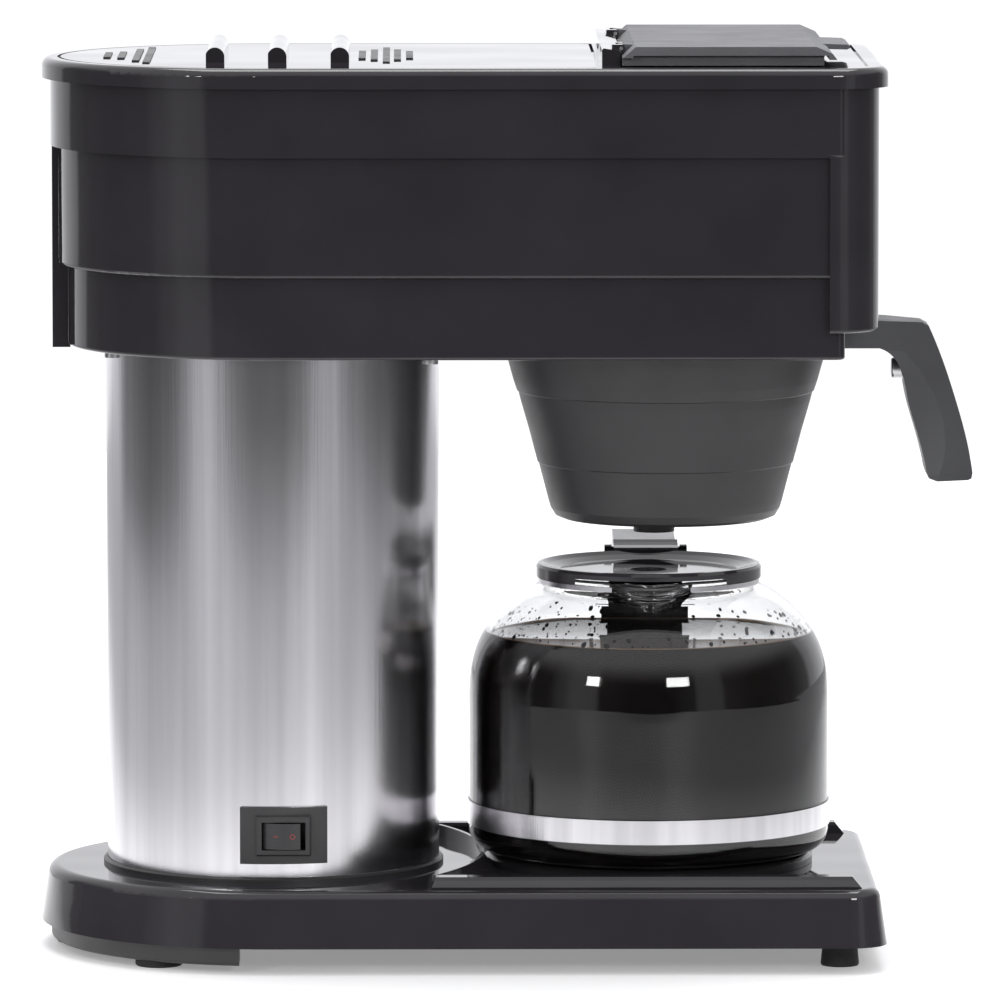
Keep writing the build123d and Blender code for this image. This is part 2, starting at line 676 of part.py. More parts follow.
def reservoir_lid():
    rear, front = LID_X
    band_low = LID_TOP_Z - LID_BAND
    low = DECK_Z + LID_GAP
    bevel_low = band_low - 0.9
    outline = [(rear, bevel_low), (LID_TOP_REAR_X - 0.4, LID_TOP_Z - 0.3), (LID_TOP_REAR_X, LID_TOP_Z)]
    outline += [(front - 6, LID_TOP_Z), (front, LID_TOP_Z - 2.6), (front + 1.8, band_low - 1.6)]
    outline += [(front - 1.2, band_low - 1.6), (front - 1.6, band_low)]
    outline += [(rear + 4, band_low), (rear + 4, bevel_low)]
    lid = side_prism(outline, LID_HALF)
    skirt_y, skirt_front = (-LID_SKIRT_HALF, LID_SKIRT_HALF), OPENING_X[1] + 2.5
    lid += block((rear, skirt_front), skirt_y, (low, bevel_low))
    lid += block((rear + 2, skirt_front), skirt_y, (low, band_low + 0.5))
    lid -= block((OPENING_X[0] + 0.5, OPENING_X[1] + 0.5), (-71, 71), (low - 1, band_low - 0.2))
    lid += finger_tab(front)
    for y in knuckle_places():
        knuckle_low, knuckle_high = (HINGE_X, HINGE_Z - KNUCKLE_R), (HINGE_X, HINGE_Z + KNUCKLE_R)
        roots = [(rear + 0.8, bevel_low + 0.3), (LID_TOP_REAR_X + 1, LID_TOP_Z - 0.5)]
        arm = side_prism([knuckle_low] + roots + [knuckle_high], KNUCKLE_LONG / 2)
        lid += Pos(0, y) * arm + across(KNUCKLE_R, y, KNUCKLE_LONG)
        lid -= across(HINGE_PIN_R + HINGE_CLEARANCE, y, KNUCKLE_LONG + 1)
    return lid


def lid_plunger():
    """Finger under the lid that holds the fill valve open while the lid is shut."""
    top = LID_TOP_Z - LID_BAND - 0.2
    finger = post(4.0, (STEM_TOP_Z + 0.5, top), VALVE_X, VALVE_Y)
    return finger + post(8.0, (top - 1.6, top), VALVE_X, VALVE_Y)


# ---------------------------------------------------------------- reservoir and valve
def reservoir_bowl():
    y = (-BOWL_HALF, BOWL_HALF)
    bowl = block(BOWL_X, y, (BOWL_BOTTOM_Z, BOWL_TOP_Z))
    bowl = fillet(bowl.edges().filter_by(Axis.Z), 9)
    bowl = fillet(bowl.faces().sort_by(Axis.Z)[0].edges(), 5)
    w = BOWL_WALL
    hollow = block((BOWL_X[0] + w, BOWL_X[1] - w), (y[0] + w, y[1] - w), (BOWL_BOTTOM_Z + w, BOWL_TOP_Z + 20))
    hollow = fillet(hollow.edges().filter_by(Axis.Z), 7)
    hollow = fillet(hollow.faces().sort_by(Axis.Z)[0].edges(), 3)
    bowl -= hollow
    guide_z = (318, 321.5)
    bowl += block((VALVE_X - 5, VALVE_X + 5), (VALVE_Y, BOWL_HALF - 1), guide_z)
    bowl += post(5, guide_z, VALVE_X, VALVE_Y)
    bowl -= post(STEM_R + 0.06, (310, 330), VALVE_X, VALVE_Y)
    return bowl - post(8.6, (BOWL_BOTTOM_Z - 1, BOWL_BOTTOM_Z + 5), VALVE_X, VALVE_Y)


def reservoir_seal():
    low, high = BOWL_TOP_Z, DECK_Z - DECK_THICK
    outer = block((BOWL_X[0] + 4, BOWL_X[1] - 0.2), (-BOWL_HALF + 0.2, BOWL_HALF - 0.2), (low, high))
    outer = fillet(outer.edges().filter_by(Axis.Z), 8)
    inner = block((BOWL_X[0] + 8, OPENING_X[1]), (-OPENING_HALF, OPENING_HALF), (low - 1, high + 1))
    return outer - fillet(inner.edges().filter_by(Axis.Z), 6)


def valve_seat():
    """Chamber under the bowl with a side nipple; its top plate is what the washer closes against."""
    floor = BOWL_BOTTOM_Z
    seat = post(CHAMBER_R, (CHAMBER_BOTTOM_Z, floor - 0.1), VALVE_X, VALVE_Y)
    seat += post(8.4, (floor - 0.5, SPRING_BOTTOM_Z - 1), VALVE_X, VALVE_Y)
    seat += post(10.5, (floor + BOWL_WALL + 0.1, SPRING_BOTTOM_Z), VALVE_X, VALVE_Y)
    seat -= post(CHAMBER_R - 1.6, (CHAMBER_BOTTOM_Z + 1.2, floor - 0.4), VALVE_X, VALVE_Y)
    for place in PolarLocations(5.2, 6):
        seat -= Pos(VALVE_X, VALVE_Y, floor + 1) * place * Cylinder(1.5, 12)
    seat -= post(STEM_R + 0.06, (floor - 5, floor + 10), VALVE_X, VALVE_Y)
    nipple = Pos(VALVE_X - 14, VALVE_Y, TUBE_Z) * Rot(0, 90, 0)
    seat += nipple * Cylinder(TUBE_R, 10)
    return seat - Pos(VALVE_X - 13, VALVE_Y, TUBE_Z) * Rot(0, 90, 0) * Cylinder(TUBE_R - TUBE_WALL, 16)


def valve_stem():
    stem = post(STEM_R, (CHAMBER_BOTTOM_Z + 1.6, STEM_TOP_Z), VALVE_X, VALVE_Y)
    stem += post(6.0, (SPRING_TOP_Z, SPRING_TOP_Z + 2), VALVE_X, VALVE_Y)
    return chamfer(stem.edges().group_by(Axis.Z)[-1], 0.5)


def valve_washer():
    return tube(7.6, STEM_R, (CHAMBER_BOTTOM_Z + 1.8, CHAMBER_BOTTOM_Z + 3.6), VALVE_X, VALVE_Y)


def valve_spring():
    wire, coil_r = 0.6, 4.4
    height = SPRING_TOP_Z - SPRING_BOTTOM_Z - 2 * wire
    path = Helix(pitch=height / 4.5, height=height, radius=coil_r)
    end = Plane(origin=path @ 0, z_dir=path % 0)
    coil = sweep(end * Circle(wire), path=path, is_frenet=True)
    return Pos(VALVE_X, VALVE_Y, SPRING_BOTTOM_Z + wire) * coil


# ---------------------------------------------------------------- funnel
FUNNEL_OUTLINE = (
    (39.2, 164.0), (42.2, 165.2), (43.9, 168.0), (44.7, 170.6), (48.5, 185.2), (49.0, 185.6),
    (52.1, 197.6), (55.4, 209.0), (56.3, 212.6), (56.9, 213.0), (58.2, 216.9), (62.4, 232.0),
)


def funnel_body():
    outer = [(0.0, 164.0)] + list(FUNNEL_OUTLINE)
    outer += [(62.7, FLANGE_Z[0]), (FLANGE_R, FLANGE_Z[0]), (FLANGE_R, FLANGE_Z[1])]
    outer += [(FUNNEL_RIM_R, FLANGE_Z[1]), (FUNNEL_RIM_R, FUNNEL_TOP_Z)]
    w = FUNNEL_WALL
    inner = [(61.2, FUNNEL_TOP_Z), (61.2, 236.0), (60.1, 232.0), (54.0, 210.5), (42.6, 171.0)]
    inner += [(40.5, 167.0), (38.0, 164.0 + w), (0.0, 164.0 + w)]
    cup = turned(outer + inner, FUNNEL_X)
    keep = block((FUNNEL_X - FLANGE_REACH, FUNNEL_X + FLANGE_REACH), (-100, 100), (0, 400))
    cup &= keep
    rib_ring = turned([(41.2, 171.5), (43.6, 171.5), (51.6, 200.0), (50.0, 200.0)], FUNNEL_X)
    for angle in range(0, 180, 30):
        spokes = Pos(FUNNEL_X) * Rot(0, 0, angle + 15) * block((-60, 60), (-0.8, 0.8), (165, 205))
        cup += rib_ring & spokes
    cup += post(OUTLET_R, (OUTLET_BOTTOM_Z, 165), OUTLET_X)
    return cup - post(3.2, (150, 170), OUTLET_X)


def funnel_basket():
    """Open stand that keeps the paper filter off the funnel's wall."""
    thick = 0.7
    points = [(41.0, 172.5), (58.6, 231.0), (58.6 + thick, 231.0), (41.0 + thick, 172.5)]
    basket = turned([(r - 1.8, z) for r, z in points], FUNNEL_X)
    for angle in range(0, 360, 24):
        for low, high in ((178, 192), (196, 208), (212, 224)):
            cut = Pos(54, 0, (low + high) / 2) * Box(40, 12, high - low)
            basket -= Pos(FUNNEL_X) * Rot(0, 0, angle) * cut
    return basket


def funnel_handle():
    """Arm out from under the fascia, turning down into a tapering grip with a facet down each side."""
    outer = Spline(
        (250.6, 0, 238.0), (255.2, 0, 227.0), (261.0, 0, 209.7), (264.3, 0, 198.2), (267.6, 0, 181.5),
    )
    inner = Spline(
        (249.7, 0, 182.7), (245.9, 0, 198.1), (242.4, 0, 210.6), (240.9, 0, 218.0), (236.7, 0, 226.6),
        (231.5, 0, 229.8),
    )
    tip = Polyline(
        (267.6, 0, 181.5), (267.2, 0, 179.4), (265.8, 0, 178.8), (253.6, 0, 178.8), (250.6, 0, 180.0),
        (249.7, 0, 182.7),
    )
    under = Polyline(
        (231.5, 0, 229.8), (208, 0, 229.8), (208, 0, FUNNEL_TOP_Z), (232, 0, FUNNEL_TOP_Z), (248, 0, 239.4),
        (250.6, 0, 238),
    )
    grip = extrude(make_face(outer + tip + inner + under), HANDLE_HALF, dir=(0, 1, 0), both=True)
    far_edge, near_edge = grip.edges().filter_by(GeomType.BSPLINE).sort_by(Axis.X)[-2:].sort_by(Axis.Y)[::-1]
    grip = chamfer(far_edge, FACET_X, FACET_Y)
    near_edge = grip.edges().filter_by(GeomType.BSPLINE).sort_by_distance(near_edge.center())[0]
    grip = chamfer(near_edge, FACET_X, FACET_Y)
    waist_r = 110.0
    side = Pos(240, HANDLE_HALF + waist_r - 2.6, 205) * Rot(0, 90, 0) * Cylinder(waist_r, 80)
    grip -= both_sides(side) + post(FUNNEL_RIM_R + 0.05, (200, 250), FUNNEL_X)
    grip -= block((200, FUNNEL_X + FLANGE_REACH + 0.05), (-30, 30), (FLANGE_Z[0] - 0.05, FLANGE_Z[1] + 0.05))
    return grip - screw_cylinder()


def screw_cylinder():
    return Pos(239.8, 0, 221.0) * Rot(0, 90, 0) * Cylinder(4.0, 6.4)


def handle_screw():
    """Button-headed screw on the inside of the grip."""
    return fillet(screw_cylinder().edges().group_by(Axis.X)[0], 1.0)


# ---------------------------------------------------------------- carafe
SHOULDER = (
    (69.0, 97.0), (68.0, 107.5), (64.9, 117.0), (59.5, 124.8), (52.7, 132.0), (47.0, 136.2), (41.6, 139.0),
)


def inset(points, amount):
    """The same run of profile points moved towards the axis, square to the run."""
    moved = []
    last = len(points) - 1
    for i, (r, z) in enumerate(points):
        before, after = points[max(i - 1, 0)], points[min(i + 1, last)]
        dr, dz = after[0] - before[0], after[1] - before[1]
        length = hypot(dr, dz)
        moved.append((r - amount * dz / length, z + amount * dr / length))
    return moved


def profile_curve(points):
    return Spline(*[(r, 0, z) for r, z in points], tangents=[(0, 0, 1), (-0.3, 0, 0.9)])


def vessel_solid(radius, floor_z, corner, shoulder, top_z):
    """Filled carafe outline: flat floor, round corner, straight side, curved shoulder and upright neck."""
    neck_r, neck_z = shoulder[-1]
    start = Polyline((0, 0, top_z), (0, 0, floor_z), (radius - corner, 0, floor_z))
    bend = 0.7071 * corner
    middle = (radius - corner + bend, 0, floor_z + corner - bend)
    corner_arc = ThreePointArc((radius - corner, 0, floor_z), middle, (radius, 0, floor_z + corner))
    side = Line((radius, 0, floor_z + corner), (shoulder[0][0], 0, shoulder[0][1]))
    neck = Polyline((neck_r, 0, neck_z), (neck_r, 0, top_z), (0, 0, top_z))
    face = make_face(start + corner_arc + side + profile_curve(shoulder) + neck)
    return Pos(CARAFE_X) * revolve(face, Axis.Z)


def lip_wedge(half, root_y, tip_y, z):
    """Three-cornered upright prism that points out of the neck on the pouring side."""
    corner = make_face(Polyline((-half, root_y), (0, tip_y), (half, root_y), close=True))
    return extrude(Pos(CARAFE_X, 0, z[0]) * corner, z[1] - z[0])


def pour_lip():
    """V-shaped lip that stands out of the neck."""
    low = 137.5
    outer = lip_wedge(14, -37, -51.5, (low, NECK_TOP_Z))
    inner = lip_wedge(12.5, -35, -48.2, (low + 2, NECK_TOP_Z + 1))
    return outer - inner - post(NECK_R - GLASS_WALL, (130, 150), CARAFE_X)


def carafe_glass():
    shoulder = list(SHOULDER)
    outside = vessel_solid(GLASS_R, GLASS_BOTTOM_Z, 8.0, shoulder, NECK_TOP_Z)
    inner_run = inset(shoulder, GLASS_WALL)
    inner_run[0] = (GLASS_R - GLASS_WALL, shoulder[0][1])
    inner_run[-1] = (NECK_R - GLASS_WALL, shoulder[-1][1] - 0.6)
    inside = vessel_solid(GLASS_R - GLASS_WALL, GLASS_BOTTOM_Z + GLASS_WALL, 5.8, inner_run, NECK_TOP_Z + 5)
    inlet = lip_wedge(10, -37, -47, (139.8, NECK_TOP_Z + 1))
    return outside + pour_lip() - inside - inlet


def carafe_band():
    low, high = BAND_STRIP_Z
    band = post(GLASS_R + 0.7, (low, high), CARAFE_X)
    band += block((CARAFE_X - 9, CARAFE_X + 9), (GLASS_R - 0.8, GLASS_R + 1.4), (low, high))
    return band - post(GLASS_R + 0.1, (low - 1, high + 1), CARAFE_X)


def carafe_collar():
    low, high = COLLAR_Z
    collar = tube(NECK_R + 1.0, NECK_R + 0.1, (139.2, high), CARAFE_X)
    collar += block((CARAFE_X - 16, CARAFE_X + 16), (NECK_R - 2, NECK_R + 3.8), (high - 1.4, high))
    collar -= post(NECK_R + 0.1, (low - 5, high + 1), CARAFE_X)
    return collar - block((CARAFE_X - 15, CARAFE_X + 15), (-60, -30), (130, 150))


def handle_saddle():
    """Bracket behind the neck that follows the shoulder and steadies the handle against it."""
    outer = vessel_solid(GLASS_R + 3.7, 60, 4, inset(SHOULDER, -3.7), 140)
    inner = vessel_solid(GLASS_R + 0.5, 59, 4, inset(SHOULDER, -0.5), 141)
    x, y = CARAFE_X, (20, 80)
    keep = block((x - 17.3, x + 17.3), y, (108, 125.0)) + block((x - 14.5, x + 14.5), y, (124.9, 139))
    keep += block((x - 19.7, x + 19.7), y, (127.6, 129.8))
    return Pos(-x) * ((outer - inner) & keep)


def carafe_handle():
    """Closed loop handle at the carafe's rear, held by the neck collar above and the band below."""
    outer = Spline(
        (0, 99, 148.6), (0, 109, 139), (0, 112.5, 118), (0, 110.5, 92), (0, 103, 66), (0, 92, 49.5),
    )
    low_arm = Polyline((0, 92, 49.5), (0, 86, 46.6), (0, 70.5, 46.6), (0, 70.5, 55.7), (0, 82, 55.7))
    inner = Spline((0, 82, 55.7), (0, 91, 68), (0, 97.5, 92), (0, 98.5, 114), (0, 93.5, 130), (0, 82, 138))
    under = Polyline((0, 82, 138), (0, 62, 139.6), (0, 49.2, 139.6), (0, 49.2, 144.2))
    top = Polyline((0, 49.2, 144.2), (0, 56, 146.4), (0, 62, 147.6), (0, 92, 149.4), (0, 99, 148.6))
    handle = extrude(make_face(outer + low_arm + inner + under + top), 12, dir=(1, 0, 0), both=True)
    handle += block((-16, 16), (NECK_R + 3.8, 58), (138.5, 144.2))
    handle += handle_saddle()
    handle -= post(NECK_R + 1.0, (138.6, 150)) + post(NECK_R + 0.5, (130, 150))
    for side in (-1, 1):
        middle_x = side * 14.6
        ear = block((middle_x - 1.4, middle_x + 1.4), (45.4, 50.8), (141.2, 148.0))
        handle += fillet(ear.edges().filter_by(Axis.X).group_by(Axis.Z)[-1], 2.0)
    handle -= lid_axle(LID_BARREL_R + 0.4, 12.9)
    return Pos(CARAFE_X) * (handle + lid_axle(LID_PIN_R, 14))


def lid_axle(r, half):
    """Cylinder along the flip lid's hinge, about the carafe's own middle."""
    return Pos(0, CARAFE_HINGE_Y, CARAFE_HINGE_Z) * Rot(0, 90, 0) * Cylinder(r, 2 * half)


def carafe_handle_screw():
    low = BAND_STRIP_Z[0]
    head = Pos(CARAFE_X, 78, low - 0.9) * Cylinder(4.0, 1.8)
    return head - Pos(CARAFE_X, 78, low - 1.8) * (Box(5, 0.9, 1.2) + Box(0.9, 5, 1.2))


def carafe_lid():
    """Flip lid: dished disc with a skirt, a pour notch at the front and a thumb ledge behind its hinge."""
    low, high = CARAFE_LID_Z
    r, plug_r = CARAFE_LID_R, NECK_R - GLASS_WALL - 0.5
    under_z = NECK_TOP_Z + 0.6
    dish = [(0, high - 2.9), (r - 9.2, high - 2.6), (r - 4.7, high - 1.2)]
    dish += [(r - 2.2, high), (r - 0.8, high - 0.1)]
    skirt = [(r, high - 1.2), (r, low), (r - 1.1, low), (r - 1.1, under_z)]
    plug = [(plug_r, under_z), (plug_r, low - 2), (plug_r - 1.5, low - 2), (plug_r - 1.5, high - 4.4)]
    plug += [(0, high - 4.4)]
    lid = turned(dish + skirt + plug, CARAFE_X)
    lid -= block((CARAFE_X - 28.8, CARAFE_X + 28.8), (-60, -20), (130, under_z))
    lid -= post(LID_HOLE_R, (high - 6, high + 3), CARAFE_X)
    behind = block((CARAFE_X - 24, CARAFE_X + 24), (20, 60), (130, under_z))
    lid -= behind - post(NECK_R - GLASS_WALL, (120, 160), CARAFE_X)
    lid += thumb_tab(high)
    return lid - Pos(CARAFE_X) * lid_axle(LID_PIN_R + HINGE_CLEARANCE, 20)


def thumb_tab(high):
    """Block on the disc that reaches back over the hinge to a short thumb ledge."""
    y = CARAFE_HINGE_Y
    outline = [(y - 9.6, high - 3.2), (y - 8.4, high + 0.2), (y - 7.0, high + 1.0), (y + 1.4, high + 1.9)]
    outline += [(y + 4.6, high + 3.0), (y + 4.9, high + 2.0), (y + 2.2, high + 0.2), (y, high - 1.4)]
    outline += [(y - 3.2, high - 1.8), (y - 4.4, high - 3.2)]
    face = make_face(Polyline(*[(0, b, c) for b, c in outline], close=True))
    lever = extrude(face, 12.5, dir=(1, 0, 0), both=True) + lid_axle(LID_BARREL_R, 12.5)
    return Pos(CARAFE_X) * lever


PARTS = {
    "base_shell": base_shell,
    "base_bottom_cover": base_bottom_cover,
    "base_screws": base_screws,
    "rear_plinth": rear_plinth,
    "rear_pads": rear_pads,
    "front_feet": front_feet,
    "cord_bushing": cord_bushing,
    "terminal_block": terminal_block,
    "warmer_plate": warmer_plate,
    "warmer_heater": warmer_heater,
    "warmer_insulator": warmer_insulator,
    "warmer_retainer": warmer_retainer,
    "warmer_screw": warmer_screw,
    "tank_shell": tank_shell,
    "tank_seat_ring": tank_seat_ring,
    "tank_vessel": tank_vessel,
    "tank_gasket": tank_gasket,
    "tank_lid": tank_lid,
    "tank_insulation": tank_insulation,
    "heating_element": heating_element,
    "element_nuts": element_nuts,
    "thermostat": thermostat,
    "limit_thermostat": limit_thermostat,
    "tank_fill_tube": tank_fill_tube,
    "brew_tube": brew_tube,
    "reservoir_hose": reservoir_hose,
    "sprayhead": sprayhead,
    "spray_fitting": spray_fitting,
    "switch_bezel": switch_bezel,
    "switch_body": switch_body,
    "switch_rocker": switch_rocker,
    "housing_shell": housing_shell,
    "rear_spine": rear_spine,
    "hood_plate": hood_plate,
    "funnel_rails": funnel_rails,
    "housing_screws": housing_screws,
    "top_cover": top_cover,
    "vent_louvres": vent_louvres,
    "deck_label": deck_label,
    "hinge_bar": hinge_bar,
    "lid_hinge_pins": lid_hinge_pins,
    "reservoir_lid": reservoir_lid,
    "lid_plunger": lid_plunger,
    "reservoir_bowl": reservoir_bowl,
    "reservoir_seal": reservoir_seal,
    "valve_seat": valve_seat,
    "valve_stem": valve_stem,
    "valve_washer": valve_washer,
    "valve_spring": valve_spring,
    "funnel_body": funnel_body,
    "funnel_basket": funnel_basket,
    "funnel_handle": funnel_handle,
    "handle_screw": handle_screw,
    "carafe_glass": carafe_glass,
    "carafe_band": carafe_band,
    "carafe_collar": carafe_collar,
    "carafe_handle": carafe_handle,
    "carafe_handle_screw": carafe_handle_screw,
    "carafe_lid": carafe_lid,
}

for part_name, make in PARTS.items():
    save(part_name, make())
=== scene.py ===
import json
import math
import random

import bpy
from mathutils import Matrix, Vector


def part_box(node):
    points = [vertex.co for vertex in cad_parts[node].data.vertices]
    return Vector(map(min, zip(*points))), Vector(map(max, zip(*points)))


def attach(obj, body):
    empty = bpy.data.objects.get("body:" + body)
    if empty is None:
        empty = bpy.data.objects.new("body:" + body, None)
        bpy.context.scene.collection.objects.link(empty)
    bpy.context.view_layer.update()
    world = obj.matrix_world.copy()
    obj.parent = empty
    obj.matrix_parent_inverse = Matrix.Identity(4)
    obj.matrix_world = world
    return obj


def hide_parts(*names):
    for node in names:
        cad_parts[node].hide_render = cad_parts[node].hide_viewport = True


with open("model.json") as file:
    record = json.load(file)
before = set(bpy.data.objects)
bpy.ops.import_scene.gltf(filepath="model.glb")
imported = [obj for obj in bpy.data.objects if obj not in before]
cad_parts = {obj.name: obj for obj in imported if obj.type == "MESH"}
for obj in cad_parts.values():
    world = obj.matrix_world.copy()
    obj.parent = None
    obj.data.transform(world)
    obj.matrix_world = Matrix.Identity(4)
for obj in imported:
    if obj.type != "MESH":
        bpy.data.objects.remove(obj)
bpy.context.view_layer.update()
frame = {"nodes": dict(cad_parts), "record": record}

MM = 0.001
NODES = frame["nodes"]


# ---------------------------------------------------------------- camera, studio
def look_from(azimuth, elevation, distance, target, focal_mm):
    """Camera at a distance from the target; azimuth 0 looks along +Y, elevation is above the horizon."""
    a, e = math.radians(azimuth), math.radians(elevation)
    back = Vector((math.sin(a) * math.cos(e), -math.cos(a) * math.cos(e), math.sin(e)))
    data = bpy.data.cameras.new("camera")
    data.lens = focal_mm
    data.sensor_width = 36
    data.clip_end = 50
    camera = bpy.data.objects.new("camera", data)
    camera.location = Vector(target) + back * distance
    camera.rotation_euler = (-back).to_track_quat("-Z", "Y").to_euler()
    bpy.context.scene.collection.objects.link(camera)
    bpy.context.scene.camera = camera


def softbox(name, place, target, size, power):
    data = bpy.data.lights.new(name, "AREA")
    data.shape = "RECTANGLE"
    data.size, data.size_y = size
    data.energy = power
    lamp = bpy.data.objects.new(name, data)
    lamp.location = place
    aim = Vector(target) - Vector(place)
    lamp.rotation_euler = aim.to_track_quat("-Z", "Y").to_euler()
    bpy.context.scene.collection.objects.link(lamp)


# Brightness of the room around the object, by compass direction in degrees: 0 is towards the camera
# and negative is to its left. White behind, two soft light strips in front, dark in between.
ROOM = (
    (-180, 1.2), (-160, 1.2), (-142, 0.95), (-131, 0.75), (-127, 0.2),
    (-110, 0.12), (-90, 0.07), (-70, 0.1), (-60, 0.32), (-50, 0.55), (-37, 0.5),
    (-32, 0.1), (-10, 0.06), (12, 0.06), (28, 0.15), (31, 0.42), (46, 0.45),
    (50, 0.15), (75, 0.08), (100, 0.12), (122, 0.3), (128, 0.8), (142, 1.1),
    (160, 1.2), (180, 1.2),
)
ROOM_TINT = (0.98, 0.985, 1.02)
OVERHEAD = (0.95, 0.95, 0.97, 1)
BACKDROP_STRENGTH = 1.05


def studio_world():
    """White backdrop for the camera; for light and reflections, a room that changes with direction."""
    world = bpy.data.worlds.new("studio")
    bpy.context.scene.world = world
    world.use_nodes = True
    nodes, links = world.node_tree.nodes, world.node_tree.links
    nodes.clear()
    out = nodes.new("ShaderNodeOutputWorld")
    coords = nodes.new("ShaderNodeTexCoord")
    split = nodes.new("ShaderNodeSeparateXYZ")
    links.new(coords.outputs["Generated"], split.inputs[0])
    forward = nodes.new("ShaderNodeMath")
    forward.operation = "MULTIPLY"
    forward.inputs[1].default_value = -1
    links.new(split.outputs["Y"], forward.inputs[0])
    compass = nodes.new("ShaderNodeMath")
    compass.operation = "ARCTAN2"
    links.new(split.outputs["X"], compass.inputs[0])
    links.new(forward.outputs[0], compass.inputs[1])
    stops = [((angle + 180) / 360, level) for angle, level in ROOM]
    around = ramp_node(nodes, links, compass.outputs[0], stops, (-math.pi, math.pi), ROOM_TINT)
    rise = ramp_node(nodes, links, split.outputs["Z"], [(0.25, 0.0), (0.65, 1.0)])
    mix = nodes.new("ShaderNodeMix")
    mix.data_type = "RGBA"
    links.new(rise, mix.inputs["Factor"])
    links.new(around, mix.inputs["A"])
    mix.inputs["B"].default_value = OVERHEAD
    lit = nodes.new("ShaderNodeBackground")
    links.new(mix.outputs["Result"], lit.inputs["Color"])
    seen = nodes.new("ShaderNodeBackground")
    seen.inputs["Color"].default_value = (1, 1, 1, 1)
    seen.inputs["Strength"].default_value = BACKDROP_STRENGTH
    path = nodes.new("ShaderNodeLightPath")
    choose = nodes.new("ShaderNodeMixShader")
    links.new(path.outputs["Is Camera Ray"], choose.inputs["Fac"])
    links.new(lit.outputs[0], choose.inputs[1])
    links.new(seen.outputs[0], choose.inputs[2])
    links.new(choose.outputs[0], out.inputs["Surface"])


def ramp_node(nodes, links, source, stops, span=(0, 1), hue=(1, 1, 1)):
    """Tinted ramp over a value; stops are (place, brightness) pairs once the span is mapped to 0..1."""
    scaled = nodes.new("ShaderNodeMapRange")
    scaled.inputs["From Min"].default_value = span[0]
    scaled.inputs["From Max"].default_value = span[1]
    links.new(source, scaled.inputs["Value"])
    ramp = nodes.new("ShaderNodeValToRGB")
    ramp.color_ramp.interpolation = "EASE"
    while len(ramp.color_ramp.elements) < len(stops):
        ramp.color_ramp.elements.new(0.5)
    for element, (place, level) in zip(ramp.color_ramp.elements, stops):
        element.position = place
        element.color = (*(level * part for part in hue), 1)
    links.new(scaled.outputs["Result"], ramp.inputs["Fac"])
    return ramp.outputs["Color"]


# ---------------------------------------------------------------- materials
def new_material(name):
    material = bpy.data.materials.new(name)
    material.use_nodes = True
    tree = material.node_tree
    shader = tree.nodes["Principled BSDF"]
    coords = tree.nodes.new("ShaderNodeTexCoord")
    return material, tree, shader, coords.outputs["Object"]


def noise(tree, coords, scale, stretch=(1, 1, 1), detail=3.0):
    mapping = tree.nodes.new("ShaderNodeMapping")
    mapping.inputs["Scale"].default_value = stretch
    tree.links.new(coords, mapping.inputs["Vector"])
    texture = tree.nodes.new("ShaderNodeTexNoise")
    texture.inputs["Scale"].default_value = scale
    texture.inputs["Detail"].default_value = detail
    tree.links.new(mapping.outputs[0], texture.inputs["Vector"])
    return texture.outputs["Fac"]


def spread(tree, value, low, high, inner=(0.3, 0.7)):
    """Maps a noise value onto a range."""
    node = tree.nodes.new("ShaderNodeMapRange")
    node.inputs["From Min"].default_value, node.inputs["From Max"].default_value = inner
    node.inputs["To Min"].default_value, node.inputs["To Max"].default_value = low, high
    tree.links.new(value, node.inputs["Value"])
    return node.outputs["Result"]


def tint(tree, value, dark, light):
    node = tree.nodes.new("ShaderNodeMix")
    node.data_type = "RGBA"
    tree.links.new(spread(tree, value, 0, 1), node.inputs["Factor"])
    node.inputs["A"].default_value = (*dark, 1)
    node.inputs["B"].default_value = (*light, 1)
    return node.outputs["Result"]


def bumps(tree, shader, layers):
    """Chain of bump nodes from (height, distance in metres, strength) layers."""
    normal = None
    for height, distance, strength in layers:
        bump = tree.nodes.new("ShaderNodeBump")
        bump.inputs["Strength"].default_value = strength
        bump.inputs["Distance"].default_value = distance
        tree.links.new(height, bump.inputs["Height"])
        if normal:
            tree.links.new(normal, bump.inputs["Normal"])
        normal = bump.outputs["Normal"]
    tree.links.new(normal, shader.inputs["Normal"])


def moulded(name, dark, light, rough, grain_scale, grain_depth, wave_depth=0.0):
    """Moulded plastic or rubber: cloudy colour, uneven gloss, grain and a faint long wave."""
    material, tree, shader, coords = new_material(name)
    cloud = noise(tree, coords, 26, detail=4)
    tree.links.new(tint(tree, cloud, dark, light), shader.inputs["Base Color"])
    smudge = noise(tree, coords, 60, detail=5)
    tree.links.new(spread(tree, smudge, *rough), shader.inputs["Roughness"])
    layers = [(noise(tree, coords, grain_scale, detail=2), grain_depth, 0.6)]
    if wave_depth:
        layers.append((noise(tree, coords, 14, detail=1), wave_depth, 1.0))
    bumps(tree, shader, layers)
    return material


def brushed(name, dark, light, rough, streak_depth, stretch=(1, 1, 0.012), scale=1500, anisotropic=0.5):
    """Brushed metal: fine streaks along one direction in colour, gloss and bump."""
    material, tree, shader, coords = new_material(name)
    fine = noise(tree, coords, scale, stretch, detail=3)
    broad = noise(tree, coords, scale / 9, stretch, detail=4)
    patchy = noise(tree, coords, 9, (1, 1, 0.5), detail=3)
    tree.links.new(tint(tree, broad, dark, light), shader.inputs["Base Color"])
    tree.links.new(spread(tree, patchy, *rough), shader.inputs["Roughness"])
    shader.inputs["Metallic"].default_value = 1
    shader.inputs["Anisotropic"].default_value = anisotropic
    bumps(tree, shader, [(fine, streak_depth, 0.5), (broad, streak_depth * 2, 0.3)])
    return material


